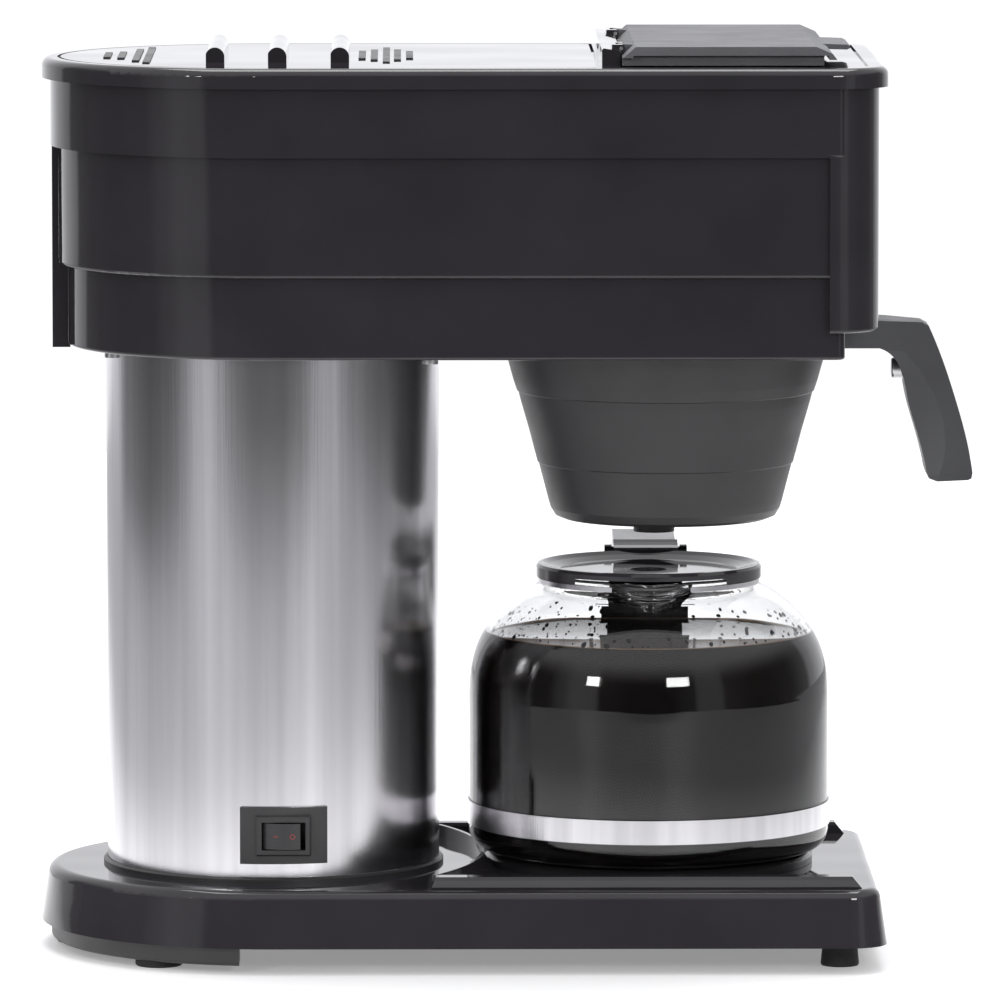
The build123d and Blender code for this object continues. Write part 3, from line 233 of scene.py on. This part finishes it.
def clear_glass(name):
    material, tree, shader, coords = new_material(name)
    cloud = noise(tree, coords, 40)
    tree.links.new(tint(tree, cloud, (0.985, 0.99, 0.99), (1, 1, 1)), shader.inputs["Base Color"])
    tree.links.new(spread(tree, noise(tree, coords, 130, detail=4), 0.0, 0.025), shader.inputs["Roughness"])
    shader.inputs["Transmission Weight"].default_value = 1
    shader.inputs["IOR"].default_value = 1.47
    bumps(tree, shader, [(noise(tree, coords, 18, detail=1), 0.0004, 0.25)])
    return material


def coffee_liquid(name):
    material, tree, shader, coords = new_material(name)
    cloud = noise(tree, coords, 30)
    brown = tint(tree, cloud, (0.0035, 0.0022, 0.0018), (0.007, 0.004, 0.003))
    tree.links.new(brown, shader.inputs["Base Color"])
    tree.links.new(spread(tree, cloud, 0.02, 0.05), shader.inputs["Roughness"])
    shader.inputs["IOR"].default_value = 1.36
    bumps(tree, shader, [(noise(tree, coords, 35, detail=1), 0.0002, 0.2)])
    return material


# Moulded finishes: dark and light colour, range of roughness, grain scale, grain depth and, if there is one,
# the depth of a long wave
MOULDED = {
    "gloss_black": ((0.0255, 0.0235, 0.0275), (0.0325, 0.0300, 0.0350), (0.02, 0.05), 900, 0.00001, 0.0011),
    "matte_black": ((0.025, 0.0245, 0.026), (0.036, 0.0355, 0.037), (0.32, 0.45), 1600, 0.0001),
    "funnel_plastic": ((0.022, 0.0213, 0.0225), (0.028, 0.0272, 0.0287), (0.4, 0.5), 2200, 0.00009),
    "handle_plastic": ((0.052, 0.0525, 0.056), (0.063, 0.064, 0.068), (0.4, 0.5), 2200, 0.00009),
    "carafe_plastic": ((0.010, 0.010, 0.011), (0.016, 0.016, 0.017), (0.14, 0.24), 1500, 0.00004),
    "bowl_plastic": ((0.60, 0.60, 0.57), (0.72, 0.72, 0.69), (0.35, 0.5), 1500, 0.00006),
    "label_print": ((0.02, 0.02, 0.022), (0.035, 0.035, 0.037), (0.35, 0.5), 1500, 0.00005),
    "rubber": ((0.010, 0.010, 0.010), (0.018, 0.018, 0.018), (0.6, 0.8), 1900, 0.00012),
    "silicone": ((0.68, 0.68, 0.64), (0.80, 0.80, 0.77), (0.45, 0.6), 1100, 0.00006),
    "foam": ((0.55, 0.52, 0.42), (0.75, 0.72, 0.6), (0.8, 0.95), 700, 0.0005),
    "warmer_enamel": ((0.009, 0.009, 0.010), (0.016, 0.016, 0.017), (0.12, 0.26), 800, 0.00005, 0.0004),
    "rocker_black": ((0.020, 0.020, 0.021), (0.030, 0.030, 0.032), (0.2, 0.3), 1300, 0.00003),
    "rocker_red": ((0.20, 0.02, 0.02), (0.28, 0.035, 0.03), (0.3, 0.4), 1300, 0.00001),
    "lid_grain": ((0.105, 0.105, 0.114), (0.135, 0.135, 0.146), (0.5, 0.62), 1500, 0.00022),
    "coffee_foam": ((0.20, 0.115, 0.06), (0.33, 0.20, 0.11), (0.25, 0.4), 700, 0.0001),
}

# Metals: dark and light colour, range of roughness, streak depth and, if it isn't brushed lengthwise, the
# stretch, scale and anisotropy of an even grain
EVEN_GRAIN = ((1, 1, 1), 900, 0.0)
METALS = {
    "brushed_steel": ((0.60, 0.59, 0.61), (0.74, 0.73, 0.755), (0.16, 0.24), 0.00006),
    "plain_steel": ((0.52, 0.52, 0.53), (0.66, 0.66, 0.67), (0.22, 0.36), 0.00003, *EVEN_GRAIN),
    "brass": ((0.55, 0.38, 0.14), (0.72, 0.52, 0.22), (0.22, 0.38), 0.00003, *EVEN_GRAIN),
}


def make_materials():
    made = {name: moulded(name, *finish) for name, finish in MOULDED.items()}
    made.update({name: brushed(name, *finish) for name, finish in METALS.items()})
    made["glass"] = clear_glass("glass")
    made["coffee"] = coffee_liquid("coffee")
    return made


# ---------------------------------------------------------------- mesh helpers
def mesh_piece(name, verts, faces, material, body, smooth=True):
    mesh = bpy.data.meshes.new(name)
    mesh.from_pydata([tuple(v) for v in verts], [], faces)
    mesh.materials.append(material)
    mesh.validate()
    if smooth:
        mesh.shade_smooth()
    piece = bpy.data.objects.new(name, mesh)
    bpy.context.scene.collection.objects.link(piece)
    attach(piece, body)
    return piece


def arc_points(centre, radius, start, end, steps):
    """Points (r, z) of an arc between two angles in degrees, 0 pointing outwards and 90 up."""
    points = []
    for i in range(steps + 1):
        t = math.radians(start + (end - start) * i / steps)
        points.append((centre[0] + radius * math.cos(t), centre[1] + radius * math.sin(t)))
    return points


def polar_point(centre, reach, angle, z):
    """Point at a reach, an angle and a height around an upright axis."""
    return Vector((centre[0] + reach * math.cos(angle), centre[1] + reach * math.sin(angle), z))


def lathe(profile, centre, segments=160, reshape=None):
    """Verts and faces of a closed solid turned from (r, z) points that start and end on the axis."""
    verts, faces, rings = [], [], []
    for r, z in profile:
        if r <= 1e-9:
            rings.append([len(verts)])
            verts.append(Vector((centre[0], centre[1], z)))
            continue
        ring = []
        for k in range(segments):
            angle = 2 * math.pi * k / segments
            reach = r + (reshape(r, z, angle) if reshape else 0.0)
            ring.append(len(verts))
            verts.append(polar_point(centre, reach, angle, z))
        rings.append(ring)
    for low, high in zip(rings[:-1], rings[1:]):
        for k in range(segments):
            n = (k + 1) % segments
            if len(low) == 1 and len(high) > 1:
                faces.append((low[0], high[n], high[k]))
            elif len(high) == 1 and len(low) > 1:
                faces.append((low[k], low[n], high[0]))
            elif len(low) > 1:
                faces.append((low[k], low[n], high[n], high[k]))
    return verts, faces


def catmull(points, steps):
    """Smooth run through (r, z) points."""
    ends = [points[0]] + list(points) + [points[-1]]
    run = []
    for i in range(1, len(ends) - 2):
        p0, p1, p2, p3 = (Vector(p) for p in ends[i - 1:i + 3])
        for s in range(steps):
            t = s / steps
            square = (2 * p0 - 5 * p1 + 4 * p2 - p3) * t * t
            cube = (3 * p1 - p0 - 3 * p2 + p3) * t ** 3
            run.append(tuple(0.5 * ((2 * p1) + (p2 - p0) * t + square + cube)))
    run.append(tuple(points[-1]))
    return run


# ---------------------------------------------------------------- carafe
WALL = 2.2 * MM
CORNER_R = 8 * MM
NECK_R = 41.6 * MM
RIM_R = 1.1 * MM
SIDE_TOP_Z = 97 * MM
SIDE_MID_Z = 70 * MM
COFFEE_Z = 119.6 * MM
# Outside of the glass from the top of its straight side to its neck, as (radius, height) in millimetres
SHOULDER = [
    (69.0, 97.0), (68.2, 106.5), (65.4, 116.0), (60.6, 124.0),
    (54.0, 131.0), (47.6, 135.8), (42.6, 138.4), (41.6, 140.0),
]
# Pouring lip: half its width in radians, how far it reaches, and the heights over which it grows
LIP_HALF = 0.36
LIP_REACH = 9.0 * MM
LIP_Z, LIP_RISE = 136 * MM, 5 * MM


def shoulder_run():
    return catmull([(r * MM, z * MM) for r, z in SHOULDER], 7)


def pour_lip(r, z, angle):
    """Outward pull that gives the neck its V-shaped lip, on the side that faces -Y."""
    off = abs(math.atan2(math.sin(angle + math.pi / 2), math.cos(angle + math.pi / 2)))
    rise = min(max((z - LIP_Z) / LIP_RISE, 0.0), 1.0)
    pull = max(0.0, 1.0 - off / LIP_HALF)
    return LIP_REACH * pull * rise * rise * (3 - 2 * rise) if r > 30 * MM else 0.0


def inner_run(run, wall):
    """Run moved in by the wall's thickness, square to itself."""
    moved = []
    for i, (r, z) in enumerate(run):
        before, after = run[max(i - 1, 0)], run[min(i + 1, len(run) - 1)]
        dr, dz = after[0] - before[0], after[1] - before[1]
        length = math.hypot(dr, dz) or 1.0
        moved.append((r - wall * dz / length, z + wall * dr / length))
    return moved


def carafe_glass(materials):
    """Glass body with a dished foot, a rounded corner and a rolled rim; returns its upright axis."""
    low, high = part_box("carafe_glass")
    centre = ((low.x + high.x) / 2, (low.y + high.y) / 2)
    radius = (high.x - low.x) / 2
    corner = (radius - CORNER_R, low.z + CORNER_R)
    rim_z = high.z - RIM_R
    foot = [(0.0, 1.6 * MM), (30 * MM, 1.4 * MM), (50 * MM, 0.6 * MM)]
    outside = [(r, low.z + z) for r, z in foot] + [(56 * MM, low.z)]
    outside += arc_points(corner, CORNER_R, -90, 0, 12)
    outside += [(radius, low.z + t * (SIDE_TOP_Z - low.z)) for t in (0.3, 0.6, 0.85)]
    run = shoulder_run()
    outside += run + [(NECK_R, rim_z)]
    lip = arc_points((NECK_R - WALL / 2, rim_z), RIM_R, 0, 180, 6)
    inside = inner_run(run, WALL)
    inside[-1] = (NECK_R - WALL, inside[-1][1])
    inside = [(NECK_R - WALL, rim_z)] + inside[::-1]
    inside += [(radius - WALL, SIDE_MID_Z)]
    inside += arc_points(corner, CORNER_R - WALL, 0, -90, 10)
    inside += [(r, low.z + WALL + z) for r, z in foot[::-1]]
    verts, faces = lathe(outside + lip[1:-1] + inside, centre, 192, pour_lip)
    piece = mesh_piece("carafe_glass_body", verts, faces, materials["glass"], "carafe")
    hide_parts("carafe_glass")
    return centre


def coffee(materials, centre):
    """Brewed coffee: fills the glass to its line, a hair into the wall so that no air film shows."""
    low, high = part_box("carafe_glass")
    bite = 0.15 * MM
    radius = (high.x - low.x) / 2
    floor_z = low.z + WALL - bite
    corner = (radius - CORNER_R, low.z + CORNER_R)
    profile = [(0.0, floor_z + 1.6 * MM), (50 * MM, floor_z + 0.6 * MM)]
    profile += arc_points(corner, CORNER_R - WALL + bite, -90, 0, 12)
    side = [(r + bite, z) for r, z in inner_run(shoulder_run(), WALL) if z < COFFEE_Z]
    profile += [(radius - WALL + bite, SIDE_MID_Z)] + side
    edge = side[-1][0] - (COFFEE_Z - side[-1][1]) * 0.8
    surface = [(0.0, 0.0), (0.8 * MM, 0.3 * MM), (2.5 * MM, 0.8 * MM)]
    profile += [(edge - inset, COFFEE_Z - sunk) for inset, sunk in surface]
    profile += [(0.0, COFFEE_Z - 0.8 * MM)]
    verts, faces = lathe(profile, centre, 160)
    mesh_piece("coffee", verts, faces, materials["coffee"], "carafe")


def wall_inside(z):
    """Inner radius of the glass at a height on its shoulder."""
    run = inner_run(shoulder_run(), WALL)
    for (r0, z0), (r1, z1) in zip(run[:-1], run[1:]):
        if z0 <= z <= z1:
            return r0 + (r1 - r0) * (z - z0) / (z1 - z0)
    return run[-1][0]


def foam_line(materials, centre):
    """Thin lighter ring of fine foam, of uneven width, where the coffee meets the glass."""
    bite = 0.1 * MM
    outer = wall_inside(COFFEE_Z + 0.4 * MM) + bite
    section = [(0, -0.3), (0.1, 0.35), (-0.45, 0.15), (-1.3, -0.35), (-1.5, -0.6)]
    verts, faces = [], []
    count, size = 160, len(section)
    for k in range(count):
        angle = 2 * math.pi * k / count
        thick = 0.75 + 0.25 * math.sin(5 * angle) * math.cos(3 * angle + 1)
        for r, z in section:
            reach = outer + r * MM * (thick if r < 0 else 1)
            verts.append(polar_point(centre, reach, angle, COFFEE_Z + z * MM))
    for k in range(count):
        n = (k + 1) % count
        for i in range(size):
            j = (i + 1) % size
            faces.append((k * size + i, k * size + j, n * size + j, n * size + i))
    mesh_piece("coffee_foam", verts, faces, materials["coffee_foam"], "carafe")


DROPLETS = 150
DROPLET_RINGS, DROPLET_SIDES = 4, 10
DROPLET_TILT = math.pi * 0.62
DROPLET_FLAT, DROPLET_SUNK, DROPLET_LONG = 0.5, 0.3, 1.15


def add_droplet(verts, faces, base, inwards, along, size):
    """One flattened bead on the wall: a cap of rings, and a point sunk in the glass behind it."""
    down = inwards.cross(along)
    first = len(verts)
    verts.append(base + inwards * size * DROPLET_FLAT)
    for ring in range(1, DROPLET_RINGS + 1):
        tilt = DROPLET_TILT * ring / DROPLET_RINGS
        flat = math.sin(tilt) * size
        for k in range(DROPLET_SIDES):
            turn = 2 * math.pi * k / DROPLET_SIDES
            across = along * flat * math.cos(turn) + down * flat * math.sin(turn) * DROPLET_LONG
            verts.append(base + inwards * math.cos(tilt) * size * DROPLET_FLAT + across)
    last = len(verts)
    verts.append(base - inwards * size * DROPLET_SUNK)
    edge = first + 1 + (DROPLET_RINGS - 1) * DROPLET_SIDES
    for k in range(DROPLET_SIDES):
        n = (k + 1) % DROPLET_SIDES
        faces.append((first, first + 1 + k, first + 1 + n))
        for ring in range(DROPLET_RINGS - 1):
            a = first + 1 + ring * DROPLET_SIDES
            b = a + DROPLET_SIDES
            faces.append((a + k, b + k, b + n, a + n))
        faces.append((edge + k, last, edge + n))


def droplets(materials, centre):
    """Beads of coffee left on the inside of the glass, just above the level."""
    rng = random.Random(14)
    verts, faces = [], []
    for _ in range(DROPLETS):
        z = COFFEE_Z + (0.8 + 7.5 * rng.random() ** 1.8) * MM
        angle = 2 * math.pi * rng.random()
        size = (0.35 + 0.75 * rng.random() ** 2) * MM
        inwards = Vector((-math.cos(angle), -math.sin(angle), -0.65)).normalized()
        along = Vector((-math.sin(angle), math.cos(angle), 0))
        base = polar_point(centre, wall_inside(z), angle, z)
        add_droplet(verts, faces, base, inwards, along, size)
    mesh_piece("coffee_droplets", verts, faces, materials["coffee"], "carafe")


def band_seam(materials, centre):
    """Lapped end of the steel band: a thin raised edge running down it on the side of the tank."""
    low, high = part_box("carafe_band")
    radius = (high.x - low.x) / 2
    start, lap = math.radians(-90 - 42.5), math.radians(9)
    raised, sunk, margin = 0.22 * MM, 0.1 * MM, 0.35 * MM
    steps = 12
    verts, faces = [], []
    for k in range(steps + 1):
        lift = raised * min(1.0, (steps - k) / 3)
        for r in (radius - sunk, radius + lift):
            for z in (low.z + margin, high.z - margin):
                verts.append(polar_point(centre, r, start + lap * k / steps, z))
    for k in range(steps):
        a, b = 4 * k, 4 * k + 4
        faces += [(a, b, b + 1, a + 1), (a + 2, a + 3, b + 3, b + 2)]
        faces += [(a, a + 2, b + 2, b), (a + 1, b + 1, b + 3, a + 3)]
    end = 4 * steps
    faces += [(0, 1, 3, 2), (end, end + 2, end + 3, end + 1)]
    steel = materials["brushed_steel"]
    mesh_piece("carafe_band_lap", verts, faces, steel, "carafe", smooth=False)


# ---------------------------------------------------------------- switch marks
def rocker_marks(materials):
    """Dash and ring printed on the two ends of the rocker's round front."""
    joint = next(j for j in frame["record"]["behaviour"]["joints"] if j["name"] == "rocker_hinge")
    pivot = Vector(joint["pos_m"])
    tilt = Matrix.Rotation(math.radians(-9), 3, "Z")
    crown_r, crown_y = 16.55 * MM, 10.55 * MM

    def on_crown(x, z, lift):
        y = crown_y - math.sqrt((crown_r + lift) ** 2 - x * x)
        return pivot + tilt @ Vector((x, y, z))

    def strip(name, outer, inner):
        verts, faces = [], []
        count = len(outer)
        for lift in (-0.05 * MM, 0.04 * MM):
            verts += [on_crown(x, z, lift) for x, z in outer] + [on_crown(x, z, lift) for x, z in inner]
        for k in range(count):
            n = (k + 1) % count
            a, b, c, d = k, n, count + n, count + k
            up = 2 * count
            faces += [(d, c, b, a), (a + up, b + up, c + up, d + up)]
            faces += [(a, b, b + up, a + up), (c, d, d + up, c + up)]
        red = materials["rocker_red"]
        mesh_piece(name, verts, faces, red, "rocker", smooth=False)

    ring_x = 4.3 * MM
    turn = [2 * math.pi * k / 28 for k in range(28)]
    circles = [[(ring_x + r * MM * math.cos(t), r * MM * math.sin(t)) for t in turn] for r in (1.05, 0.68)]
    strip("rocker_off_ring", *circles)
    dash = [(-3.1, -0.2), (-1.1, -0.2), (-1.1, 0.2), (-3.1, 0.2)]
    core = [(-3.0, -0.01), (-1.2, -0.01), (-1.2, 0.01), (-3.0, 0.01)]
    strip("rocker_on_dash", *[[(x * MM, z * MM) for x, z in run] for run in (dash, core)])


# ---------------------------------------------------------------- CAD nodes
def paint_cad(materials):
    """Every CAD node that stays gets the material of its record slot, apart from a few finishes."""
    slot_of = {part["node"]: part["material_slot"] for part in frame["record"]["subparts"]}
    finish = {"deck_label": "label_print", "reservoir_lid": "lid_grain", "funnel_handle": "handle_plastic"}
    for node, piece in NODES.items():
        material = materials[finish.get(node, slot_of[node])]
        piece.data.materials.clear()
        piece.data.materials.append(material)
        for polygon in piece.data.polygons:
            polygon.material_index = 0


FLOOR_X, FLOOR_Y = (-1.4, 1.6), (-1.5, 1.9)
FLOOR_MIDDLE_X = 0.09
# How far out from the object the painted pool of light on the floor stays bright, and where it has faded to
# painted grey; near the object the floor also glows as painted light
PAINTED_POOL_TO, PAINTED_GREY_FROM = 0.31, 0.62
FLOOR_PAINTED_GLOW = 0.28


def floor():
    """Pale table top with a painted pool of light: bright and glowing under the object, painted grey further
    out, ending outside the picture.
    """
    (left, right), (near, far) = FLOOR_X, FLOOR_Y
    verts = [(left, near, 0), (right, near, 0), (right, far, 0), (left, far, 0)]
    mesh = bpy.data.meshes.new("floor")
    mesh.from_pydata(verts, [], [(0, 1, 2, 3)])
    material, tree, shader, coords = new_material("floor")
    split = tree.nodes.new("ShaderNodeSeparateXYZ")
    tree.links.new(coords, split.inputs[0])
    aside = tree.nodes.new("ShaderNodeMath")
    aside.operation = "SUBTRACT"
    aside.inputs[1].default_value = FLOOR_MIDDLE_X
    tree.links.new(split.outputs["X"], aside.inputs[0])
    ahead = tree.nodes.new("ShaderNodeMath")
    ahead.operation = "MINIMUM"
    ahead.inputs[1].default_value = 0
    tree.links.new(split.outputs["Y"], ahead.inputs[0])
    join = tree.nodes.new("ShaderNodeCombineXYZ")
    tree.links.new(aside.outputs[0], join.inputs["X"])
    tree.links.new(ahead.outputs[0], join.inputs["Y"])
    away = tree.nodes.new("ShaderNodeVectorMath")
    away.operation = "LENGTH"
    tree.links.new(join.outputs[0], away.inputs[0])
    # Painted pool of light: the floor colour is bright near the object and fades to painted grey further out
    painted_light_pool = spread(tree, away.outputs["Value"], 1, 0, (PAINTED_POOL_TO, PAINTED_GREY_FROM))
    cloud = tint(tree, noise(tree, coords, 3), (0.92, 0.92, 0.92), (0.95, 0.95, 0.95))
    shade = tree.nodes.new("ShaderNodeMix")
    shade.data_type = "RGBA"
    tree.links.new(painted_light_pool, shade.inputs["Factor"])
    shade.inputs["A"].default_value = (0.45, 0.45, 0.46, 1)
    tree.links.new(cloud, shade.inputs["B"])
    tree.links.new(shade.outputs["Result"], shader.inputs["Base Color"])
    # Painted light: near the object the floor glows, though it is no lamp
    tree.links.new(cloud, shader.inputs["Emission Color"])
    tree.links.new(spread(tree, painted_light_pool, 0, FLOOR_PAINTED_GLOW, (0, 1)), shader.inputs["Emission Strength"])
    shader.inputs["Roughness"].default_value = 0.6
    mesh.materials.append(material)
    plane = bpy.data.objects.new("floor", mesh)
    bpy.context.scene.collection.objects.link(plane)


scene = bpy.context.scene
scene.view_settings.view_transform = "Standard"
look_from(azimuth=-0.593, elevation=5.95, distance=3.7, target=(0.087, 0.0, 0.1704), focal_mm=347.65)
studio_world()
floor()
softbox("left_box", (-1.32, -1.88, 0.8), (0, 0, 0.2), (0.35, 0.35), 7)
softbox("right_box", (0.86, -2.24, 0.83), (0.1, 0, 0.2), (0.6, 0.35), 11)
softbox("top_box", (0.1, 0.3, 1.9), (0.1, 0, 0.1), (1.4, 1.0), 24)
materials = make_materials()
paint_cad(materials)
glass_centre = carafe_glass(materials)
coffee(materials, glass_centre)
foam_line(materials, glass_centre)
droplets(materials, glass_centre)
band_seam(materials, glass_centre)
rocker_marks(materials)
